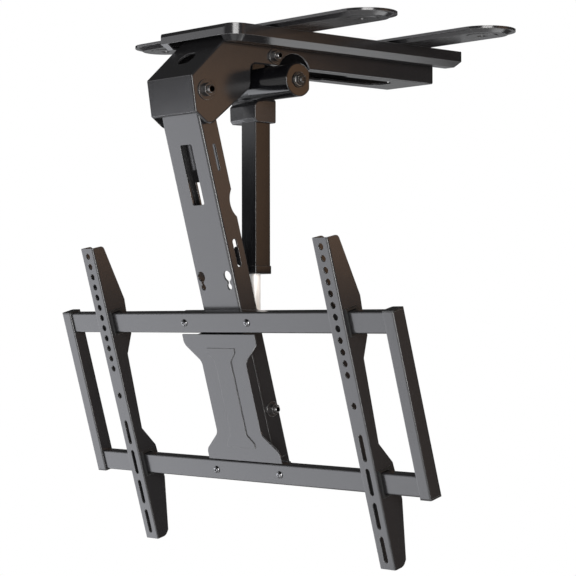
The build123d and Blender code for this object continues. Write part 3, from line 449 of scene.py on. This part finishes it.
def copy_to(piece, offset):
    """A copy with its own mesh, moved by an offset, with the place in its mesh."""
    twin = piece.copy()
    twin.data = piece.data.copy()
    bpy.context.scene.collection.objects.link(twin)
    twin.data.transform(Matrix.Translation(offset))
    return twin

HINGE = Vector((0.0, -0.2453, -0.0878))
ARM_LEAN = math.radians(15.8)

def lean_with_arm(piece):
    """Takes a piece from the arm's own axes, hinge at zero, to its place."""
    piece.data.transform(Matrix.Translation(HINGE) @ Matrix.Rotation(ARM_LEAN, 4, "X"))

def hand_over(piece, name, body, slot, material=None, stands_for=None, angle=35):
    """Smooth shading that keeps flat faces flat, finish, name and body for a finished piece."""
    bpy.ops.object.select_all(action="DESELECT")
    piece.select_set(True)
    bpy.context.view_layer.objects.active = piece
    bpy.ops.object.shade_smooth_by_angle(angle=math.radians(angle), keep_sharp_edges=True)
    evener = piece.modifiers.new("even_normals", "WEIGHTED_NORMAL")
    evener.keep_sharp = True
    bpy.ops.object.modifier_apply(modifier="even_normals")
    piece.name = name
    piece.data.name = name
    piece.data.materials.clear()
    piece.data.materials.append(finishes[material or slot])
    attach(piece, body)
    if stands_for:
        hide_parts(stands_for)
    sizes = [round(side * 1000, 1) for side in piece.dimensions]
    print(name, "rides on", body, "size in mm", sizes, "faces", len(piece.data.polygons))
    return piece

# %% [markdown]
# ## The cover between the rails
# On the real mount this is a thin pressed sheet, wide at both rails and narrow in
# the middle, with a raised panel, and it sits on two straight side walls. A box is
# cut by four planes, its middle is drawn together to make the waist, and the
# corners are rounded. The same recipe makes the panel. It is modelled upright, in
# the arm's own axes, and then leaned back about the hinge as a whole.

# %% The waisted sheet
def waisted_sheet(half_ear, half_waist, low, top, drop, flare, front, rear, rounding):
    """A sheet that is wide at both ends and narrow between them."""
    sheet = box_between((-half_ear, front, low), (half_ear, rear, top))
    edit(sheet)
    cut_at("Z", low + drop, low + flare, top - flare, top - drop)
    pick(sheet, "VERT", lambda corner, at: low + flare - TINY < at.z < top - flare + TINY)
    narrow((half_waist / half_ear, 1, 1))
    pick(sheet, "EDGE", lambda edge, at: runs_along(edge, "Y") and low + 1e-4 < at.z < top - 1e-4)
    bpy.ops.mesh.bevel(offset=rounding, segments=6)
    close()
    return sheet

COVER_LOW, COVER_TOP = -0.5000, -0.3226
HALF_EAR, HALF_WAIST = 0.0750, 0.0455
PANEL_MARGIN = 0.019
cover = waisted_sheet(HALF_EAR, HALF_WAIST, COVER_LOW, COVER_TOP, drop=0.0135, flare=0.038,
                      front=-0.0310, rear=-0.0288, rounding=0.005)
panel = waisted_sheet(0.028, 0.016, COVER_LOW + PANEL_MARGIN, COVER_TOP - PANEL_MARGIN, drop=0.0065,
                      flare=0.0185, front=-0.0322, rear=-0.0300, rounding=0.0015)
print("sheet faces", len(cover.data.polygons), "panel faces", len(panel.data.polygons))

# %% Side walls, joined and leaned back
WALL_SHEET, WALL_REAR = 0.0020, -0.0172
for side in (-1, 1):
    inner, outer = sorted((side * (HALF_WAIST - WALL_SHEET), side * HALF_WAIST))
    wall = box_between((inner, -0.0300, COVER_LOW + 0.0004), (outer, WALL_REAR, COVER_TOP - 0.0004))
    edit(wall)
    pick(wall, "EDGE", lambda edge, at: runs_along(edge, "Z") and at.y > -0.018 and abs(at.x) > 0.045)
    bpy.ops.mesh.bevel(offset=0.0009, segments=3)
    close()
    unite(cover, wall)
unite(cover, panel)
lean_with_arm(cover)
hand_over(cover, "pressed_cover", "arm", "black_coat", stands_for="cover_plate", angle=20)

# %% [markdown]
# ## The bracket behind the rails
# Behind the rails a folded bracket holds the frame on the arm: a web that is wide
# only behind the two rails, where the screws are, and two side plates that hug the
# arm's cheeks. From beside it the web is straight. The web is a box with four cuts
# whose middle is narrowed, and the side plates are boxes with rounded rear corners.

# %% Folded bracket
ARM_FACE = -0.0150
WEB_LOW, WEB_TOP = -0.5301, -0.2925
SIDE_LOW, SIDE_TOP = -0.5021, -0.3235
web = box_between((-HALF_EAR, WALL_REAR, WEB_LOW), (HALF_EAR, ARM_FACE, WEB_TOP))
edit(web)
cut_at("Z", -0.5018, -0.4990, -0.3236, -0.3208)
pick(web, "VERT", lambda corner, at: -0.4992 < at.z < -0.3234)
narrow((HALF_WAIST / HALF_EAR, 1, 1))
close()
for side in (-1, 1):
    inner, outer = sorted((side * 0.0393, side * 0.0418))
    plate = box_between((inner, -0.0170, SIDE_LOW), (outer, 0.0105, SIDE_TOP))
    edit(plate)
    pick(plate, "EDGE", lambda edge, at: runs_along(edge, "X") and at.y > 0.01)
    bpy.ops.mesh.bevel(offset=0.006, segments=8)
    close()
    unite(web, plate)
lean_with_arm(web)
hand_over(web, "folded_bracket", "arm", "black_coat", stands_for="frame_bracket")

# %% [markdown]
# ## Back plates of the arm
# Plates close parts of the arm's open rear: a wide one near the top, whose legs run
# down both cheeks, and two tabs lower down. The arm has its relief for the motor only
# where the motor stands out, on the right, so the left leg runs on past it and the
# left cheek is made whole. Boxes are rounded where the cut sheet is, then united.

# %% Plate with legs, closed left cheek and tabs
PLATE_FRONT, PLATE_REAR, CHEEK_INSIDE = 0.0105, 0.0130, 0.0365
LEG_INNER, TAB_INNER = 0.0277, 0.0218
TAB_LOW, TAB_TOP = -0.2390, -0.2130
plates = box_between((-CHEEK_INSIDE, PLATE_FRONT, -0.1225), (CHEEK_INSIDE, PLATE_REAR, -0.0300))
for x_low, x_high, low, top in ((-CHEEK_INSIDE, -LEG_INNER, -0.1780, -0.1215),
                                (LEG_INNER, CHEEK_INSIDE, -0.1330, -0.1215),
                                (-CHEEK_INSIDE, -TAB_INNER, TAB_LOW, TAB_TOP),
                                (TAB_INNER, CHEEK_INSIDE, TAB_LOW, TAB_TOP)):
    leg = box_between((x_low, PLATE_FRONT, low), (x_high, PLATE_REAR, top))
    edit(leg)
    pick(leg, "EDGE", lambda edge, at: runs_along(edge, "Y") and abs(at.x) < 0.03
         and (top == TAB_TOP or at.z < low + 1e-4))
    bpy.ops.mesh.bevel(offset=0.0040, segments=6)
    close()
    unite(plates, leg)
cheek = box_between((-0.0388, 0.0040, -0.1780), (-0.0364, 0.0129, -0.1315))
unite(plates, cheek)
lean_with_arm(plates)
hand_over(plates, "welded_back_plates", "arm", "black_coat", stands_for="arm_back_plates")

# %% [markdown]
# ## The gear case
# The screw drive's case is a casting: a foot that clamps the square tube, a front in
# two halves, a roof that rises to the top eye, and a round housing for the worm
# beside the motor. The foot is a box whose corners are rounded, the roof is extruded
# from its top face and drawn in, and the halves and round parts are united with it.
# Four small screws, sunk in pockets, hold its back cover.

# %% Foot and roof
ACTUATOR_TOP = (-0.12689, -0.0336)
DRIVE_Y, EYE_Z = ACTUATOR_TOP
CASE_FRONT, CASE_BACK = DRIVE_Y - 0.0168, DRIVE_Y + 0.0209
case = box_between((-0.0305, CASE_FRONT + 0.0068, -0.1210), (0.0275, CASE_BACK, -0.0920))
edit(case)
pick(case, "FACE", lambda face, at: face.normal.z > 0.9)
for rise, sides, depth in ((0.0095, 0.72, 0.80), (0.0065, 0.72, 0.78)):
    bpy.ops.mesh.extrude_region_move(TRANSFORM_OT_translate={"value": (0, 0, rise)})
    narrow((sides, depth, 1), (0.0, DRIVE_Y, 0))
pick(case, "EDGE", lambda edge, at: runs_along(edge, "Z") and abs(at.x) > 0.02)
bpy.ops.mesh.bevel(offset=0.0020, segments=3)
pick(case, "FACE", lambda face, at: face.normal.z < -0.9)
bpy.ops.mesh.region_to_loop()
bpy.ops.mesh.bevel(offset=0.0016, segments=2)
close()
print("foot and roof", len(case.data.polygons), "faces")

# %% The two halves of the front
right_half = box_between((0.0014, CASE_FRONT, -0.1205), (0.0273, DRIVE_Y, -0.0925))
left_half = box_between((-0.0303, CASE_FRONT, -0.1208), (0.0012, DRIVE_Y, -0.0922))
BEFORE_MIDDLE = DRIVE_Y - 0.01
edit(left_half)
pick(left_half, "VERT", lambda corner, at: at.x < -0.03 and at.y < BEFORE_MIDDLE)
move(0, 0.0034, 0)
pick(left_half, "VERT", lambda corner, at: at.z < -0.12 and at.y < BEFORE_MIDDLE)
move(0, 0.0012, 0)
close()
for half in (right_half, left_half):
    edit(half)
    pick(half, "EDGE", lambda edge, at: runs_along(edge, "X") and at.y < BEFORE_MIDDLE and at.z < -0.12)
    bpy.ops.mesh.bevel(offset=0.0046, segments=1)
    pick(half, "EDGE", lambda edge, at: runs_along(edge, "X") and at.y < BEFORE_MIDDLE and at.z > -0.093)
    bpy.ops.mesh.bevel(offset=0.0065, segments=1)
    pick(half, "EDGE", lambda edge, at: runs_along(edge, "Z") and at.y < BEFORE_MIDDLE and abs(at.x) > 0.02)
    bpy.ops.mesh.bevel(offset=0.0014, segments=3)
    close()
    unite(case, half)
print("with both halves", len(case.data.polygons), "faces")

# %% Neck, eye and worm housing
MOTOR_AXIS = (-0.1395, -0.0720)
NECK_HALF, EYE_RADIUS = 0.015, 0.011
neck = box_between((-NECK_HALF, DRIVE_Y - EYE_RADIUS, -0.090), (NECK_HALF, DRIVE_Y + EYE_RADIUS, EYE_Z))
eye = bar_along("X", EYE_RADIUS, -NECK_HALF, NECK_HALF, ACTUATOR_TOP)
worm = bar_along("X", 0.0182, 0.0010, 0.0279, MOTOR_AXIS)
edit(worm)
pick(worm, "FACE", lambda face, at: face.normal.x < -0.9)
for inward, outward in ((0.0030, -0.0014), (0.0060, 0.0010)):
    bpy.ops.mesh.inset(thickness=inward)
    move(outward, 0, 0)
close()
bore = bar_along("X", 0.0042, -0.03, 0.03, ACTUATOR_TOP, sides=32)
unite(case, neck, eye, worm)
unite(case, bore, cut=True)
print("with eye and worm housing", len(case.data.polygons), "faces")

# %% Sunk screws of the back cover
for x in (-0.0245, 0.0215):
    for z in (-0.1150, -0.0980):
        pocket = bar_along("Y", 0.0030, CASE_BACK - 0.0020, CASE_BACK + 0.0010, (x, z), sides=32)
        unite(case, pocket, cut=True)
        screw = bar_along("Y", 0.0024, CASE_BACK - 0.0030, CASE_BACK - 0.0004, (x, z), sides=32)
        edit(screw)
        pick(screw, "FACE", lambda face, at: face.normal.y > 0.9)
        bpy.ops.mesh.inset(thickness=0.0009)
        bpy.ops.mesh.extrude_region_move(TRANSFORM_OT_translate={"value": (0, -0.0008, 0)})
        close()
        unite(case, screw)
hand_over(case, "gear_case", "actuator", "cast_black", stands_for="gear_housing", angle=25)

# %% [markdown]
# ## The drive's square tube
# The outer tube of the drive is drawn square steel with a glossy paint and softly
# rounded corners that each show one bright line. A box gets round corners, with a
# larger radius on the left, and its two ends are inset, so that the wall shows. A
# moulded collar with a hole for the rod closes the lower end.

# %% Square tube with rounded corners
tube = box_between((-0.0083, DRIVE_Y - 0.0120, -0.3220), (0.0225, DRIVE_Y + 0.0145, -0.1200))
edit(tube)
pick(tube, "EDGE", lambda edge, at: runs_along(edge, "Z") and at.x < 0)
bpy.ops.mesh.bevel(offset=0.0032, segments=6)
pick(tube, "EDGE", lambda edge, at: runs_along(edge, "Z") and at.x > 0.02)
bpy.ops.mesh.bevel(offset=0.0014, segments=4)
pick(tube, "FACE", lambda face, at: abs(face.normal.z) > 0.9)
bpy.ops.mesh.inset(thickness=0.0016, use_individual=True)
pick(tube, "FACE", lambda face, at: face.normal.z < -0.9 and len(face.verts) > 8)
bpy.ops.mesh.extrude_region_move(TRANSFORM_OT_translate={"value": (0, 0, 0.0008)})
close()
hand_over(tube, "drawn_tube", "actuator", "black_tube", stands_for="outer_tube")

# %% Collar that closes the tube's lower end
ROD_X = 0.0075
collar = box_between((-0.0095, DRIVE_Y - 0.0132, -0.3250), (0.0237, DRIVE_Y + 0.0158, -0.3140))
edit(collar)
pick(collar, "EDGE", lambda edge, at: runs_along(edge, "Z"))
bpy.ops.mesh.bevel(offset=0.0022, segments=4)
pick(collar, "FACE", lambda face, at: abs(face.normal.z) > 0.9)
bpy.ops.mesh.region_to_loop()
bpy.ops.mesh.bevel(offset=0.0008, segments=2)
close()
rod_hole = bar_along("Z", 0.0075, -0.3260, -0.3130, (ROD_X, DRIVE_Y), sides=48)
unite(collar, rod_hole, cut=True)
hand_over(collar, "moulded_collar", "actuator", "black_plastic", material="black_tube",
          stands_for="tube_collar")

# %% [markdown]
# ## Threads on the bolt ends
# Every pivot bolt ends in a few turns of bare thread outside its nut, and so does
# the bolt of the motor. From the side a short thread reads as a stack of ridges, so
# a bar is cut into rings by planes, half a pitch apart, and every second ring of
# edges is drawn in to the root of the thread.

# %% Ridged bolt ends
M10, M8 = (0.00525, 0.0015), (0.00420, 0.00125)
THREAD_DEPTH = 0.6

def thread(name, body, size, start, end, centre):
    """A short run of thread along X, of a radius and pitch, with a tapered last turn."""
    radius, pitch = size
    bar = bar_along("X", radius, start, end, centre, sides=32)
    edit(bar)
    steps = range(1, int((end - start) / (pitch / 2)) + 1)
    stations = [start + pitch / 2 * step for step in steps if start + pitch / 2 * step < end - TINY]
    cut_at("X", *stations)
    root = 1 - THREAD_DEPTH * pitch / radius
    for station in stations[1::2]:
        pick(bar, "VERT", lambda corner, at: abs(at.x - station) < TINY)
        narrow((1, root, root), (0, *centre))
    pick(bar, "VERT", lambda corner, at: at.x > end - TINY)
    narrow((1, 0.82, 0.82), (0, *centre))
    close()
    return hand_over(bar, name, body, "dark_steel", angle=50)

thread("hinge_bolt_thread", "ceiling_unit", M10, 0.0556, 0.0596, HINGE.yz)
thread("actuator_bolt_thread", "ceiling_unit", M8, 0.0556, 0.0596, ACTUATOR_TOP)
thread("lower_bolt_thread", "arm", M8, 0.0499, 0.0539, (DRIVE_Y, -0.50627))
thread("motor_bolt_thread", "actuator", M8, 0.1166, 0.1196, MOTOR_AXIS)

# %% Bright washer under the motor's nut
WASHER_RADIUS = 0.0080
washer = bar_along("X", WASHER_RADIUS, 0.1101, 0.1118, MOTOR_AXIS, sides=48)
edit(washer)
pick(washer, "FACE", lambda face, at: abs(face.normal.x) > 0.9)
bpy.ops.mesh.inset(thickness=0.0030, use_individual=True)
bpy.ops.mesh.bridge_edge_loops()
pick(washer, "EDGE", lambda edge, at: at.x > 0.1115 and abs(edge.verts[0].co.x - edge.verts[1].co.x) < 1e-6
     and (at.yz - Vector(MOTOR_AXIS)).length > WASHER_RADIUS - 0.0003)
bpy.ops.mesh.bevel(offset=0.0004, segments=2)
close()
hand_over(washer, "motor_bolt_washer", "actuator", "dark_steel", material="plain_steel")

# %% [markdown]
# ## Rail screws
# Four low round heads with a hexagon socket hold the rails. They are glossy black
# and each shows one bright spot, so the head has to be a true dome: a cylinder whose
# front is inset and pushed out ring by ring, with a six-sided socket cut into it.

# %% One screw head, copied to its four places
RAIL_FACE = -0.0310
DOME_RINGS = ((0.0005, 0.0006), (0.0008, 0.0006), (0.0011, 0.0005), (0.0012, 0.0003))
head = bar_along("Y", 0.0052, RAIL_FACE - 0.0006, RAIL_FACE + 0.0004, (0.0, 0.0), sides=36)
edit(head)
pick(head, "FACE", lambda face, at: face.normal.y < -0.9)
for inward, outward in DOME_RINGS:
    bpy.ops.mesh.inset(thickness=inward)
    move(0, -outward, 0)
close()
socket = bar_along("Y", 0.0017, RAIL_FACE - 0.004, RAIL_FACE - 0.0008, (0.0, 0.0), sides=6)
unite(head, socket, cut=True)
copies = [copy_to(head, (x, 0.0, z)) for z in (-0.30655, -0.51605) for x in (-0.065, 0.065)]
bpy.data.objects.remove(head)
bpy.ops.object.select_all(action="DESELECT")
for one in copies:
    one.select_set(True)
heads = copies[0]
bpy.context.view_layer.objects.active = heads
bpy.ops.object.join()
lean_with_arm(heads)
hand_over(heads, "rail_screw_heads", "arm", "dark_steel", material="gloss_zinc")

# %% [markdown]
# ## Pressed rings in the cross arms
# Round each ceiling screw hole the strap is pressed out a little, so that a washer
# lies flat there. A low disc is drawn in at its lower edge, inset to the size of the
# hole, and the two inner faces are bridged, which opens the hole through it.

# %% One ring, copied to the four holes
RING_RADIUS, LOWER_RADIUS, HOLE_RADIUS = 0.0225, 0.0211, 0.0071
ring = bar_along("Z", RING_RADIUS, -0.0007, 0.0003, (0.0, 0.0), sides=96)
edit(ring)
pick(ring, "VERT", lambda corner, at: at.z < -0.0005)
narrow((0.94, 0.94, 1))
pick(ring, "FACE", lambda face, at: face.normal.z < -0.9)
bpy.ops.mesh.inset(thickness=LOWER_RADIUS - HOLE_RADIUS)
pick(ring, "FACE", lambda face, at: face.normal.z > 0.9)
bpy.ops.mesh.inset(thickness=RING_RADIUS - HOLE_RADIUS)
pick(ring, "FACE", lambda face, at: abs(face.normal.z) > 0.9 and at.xy.length < 0.001
     and len(face.verts) > 8)
bpy.ops.mesh.bridge_edge_loops()
close()
rings = [copy_to(ring, (x, y, 0.0)) for x in (-0.2032, 0.2032) for y in (-0.1135, 0.1135)]
bpy.data.objects.remove(ring)
for number, one in enumerate(rings, 1):
    hand_over(one, "pressed_ring_%d" % number, "ceiling_unit", "black_coat")

# %% [markdown]
# ## Size of what is seen
# The box of all that is seen is measured and printed.

# %% Size of what is seen
low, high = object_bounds()
print("visible box", [round(v, 4) for v in high - low])
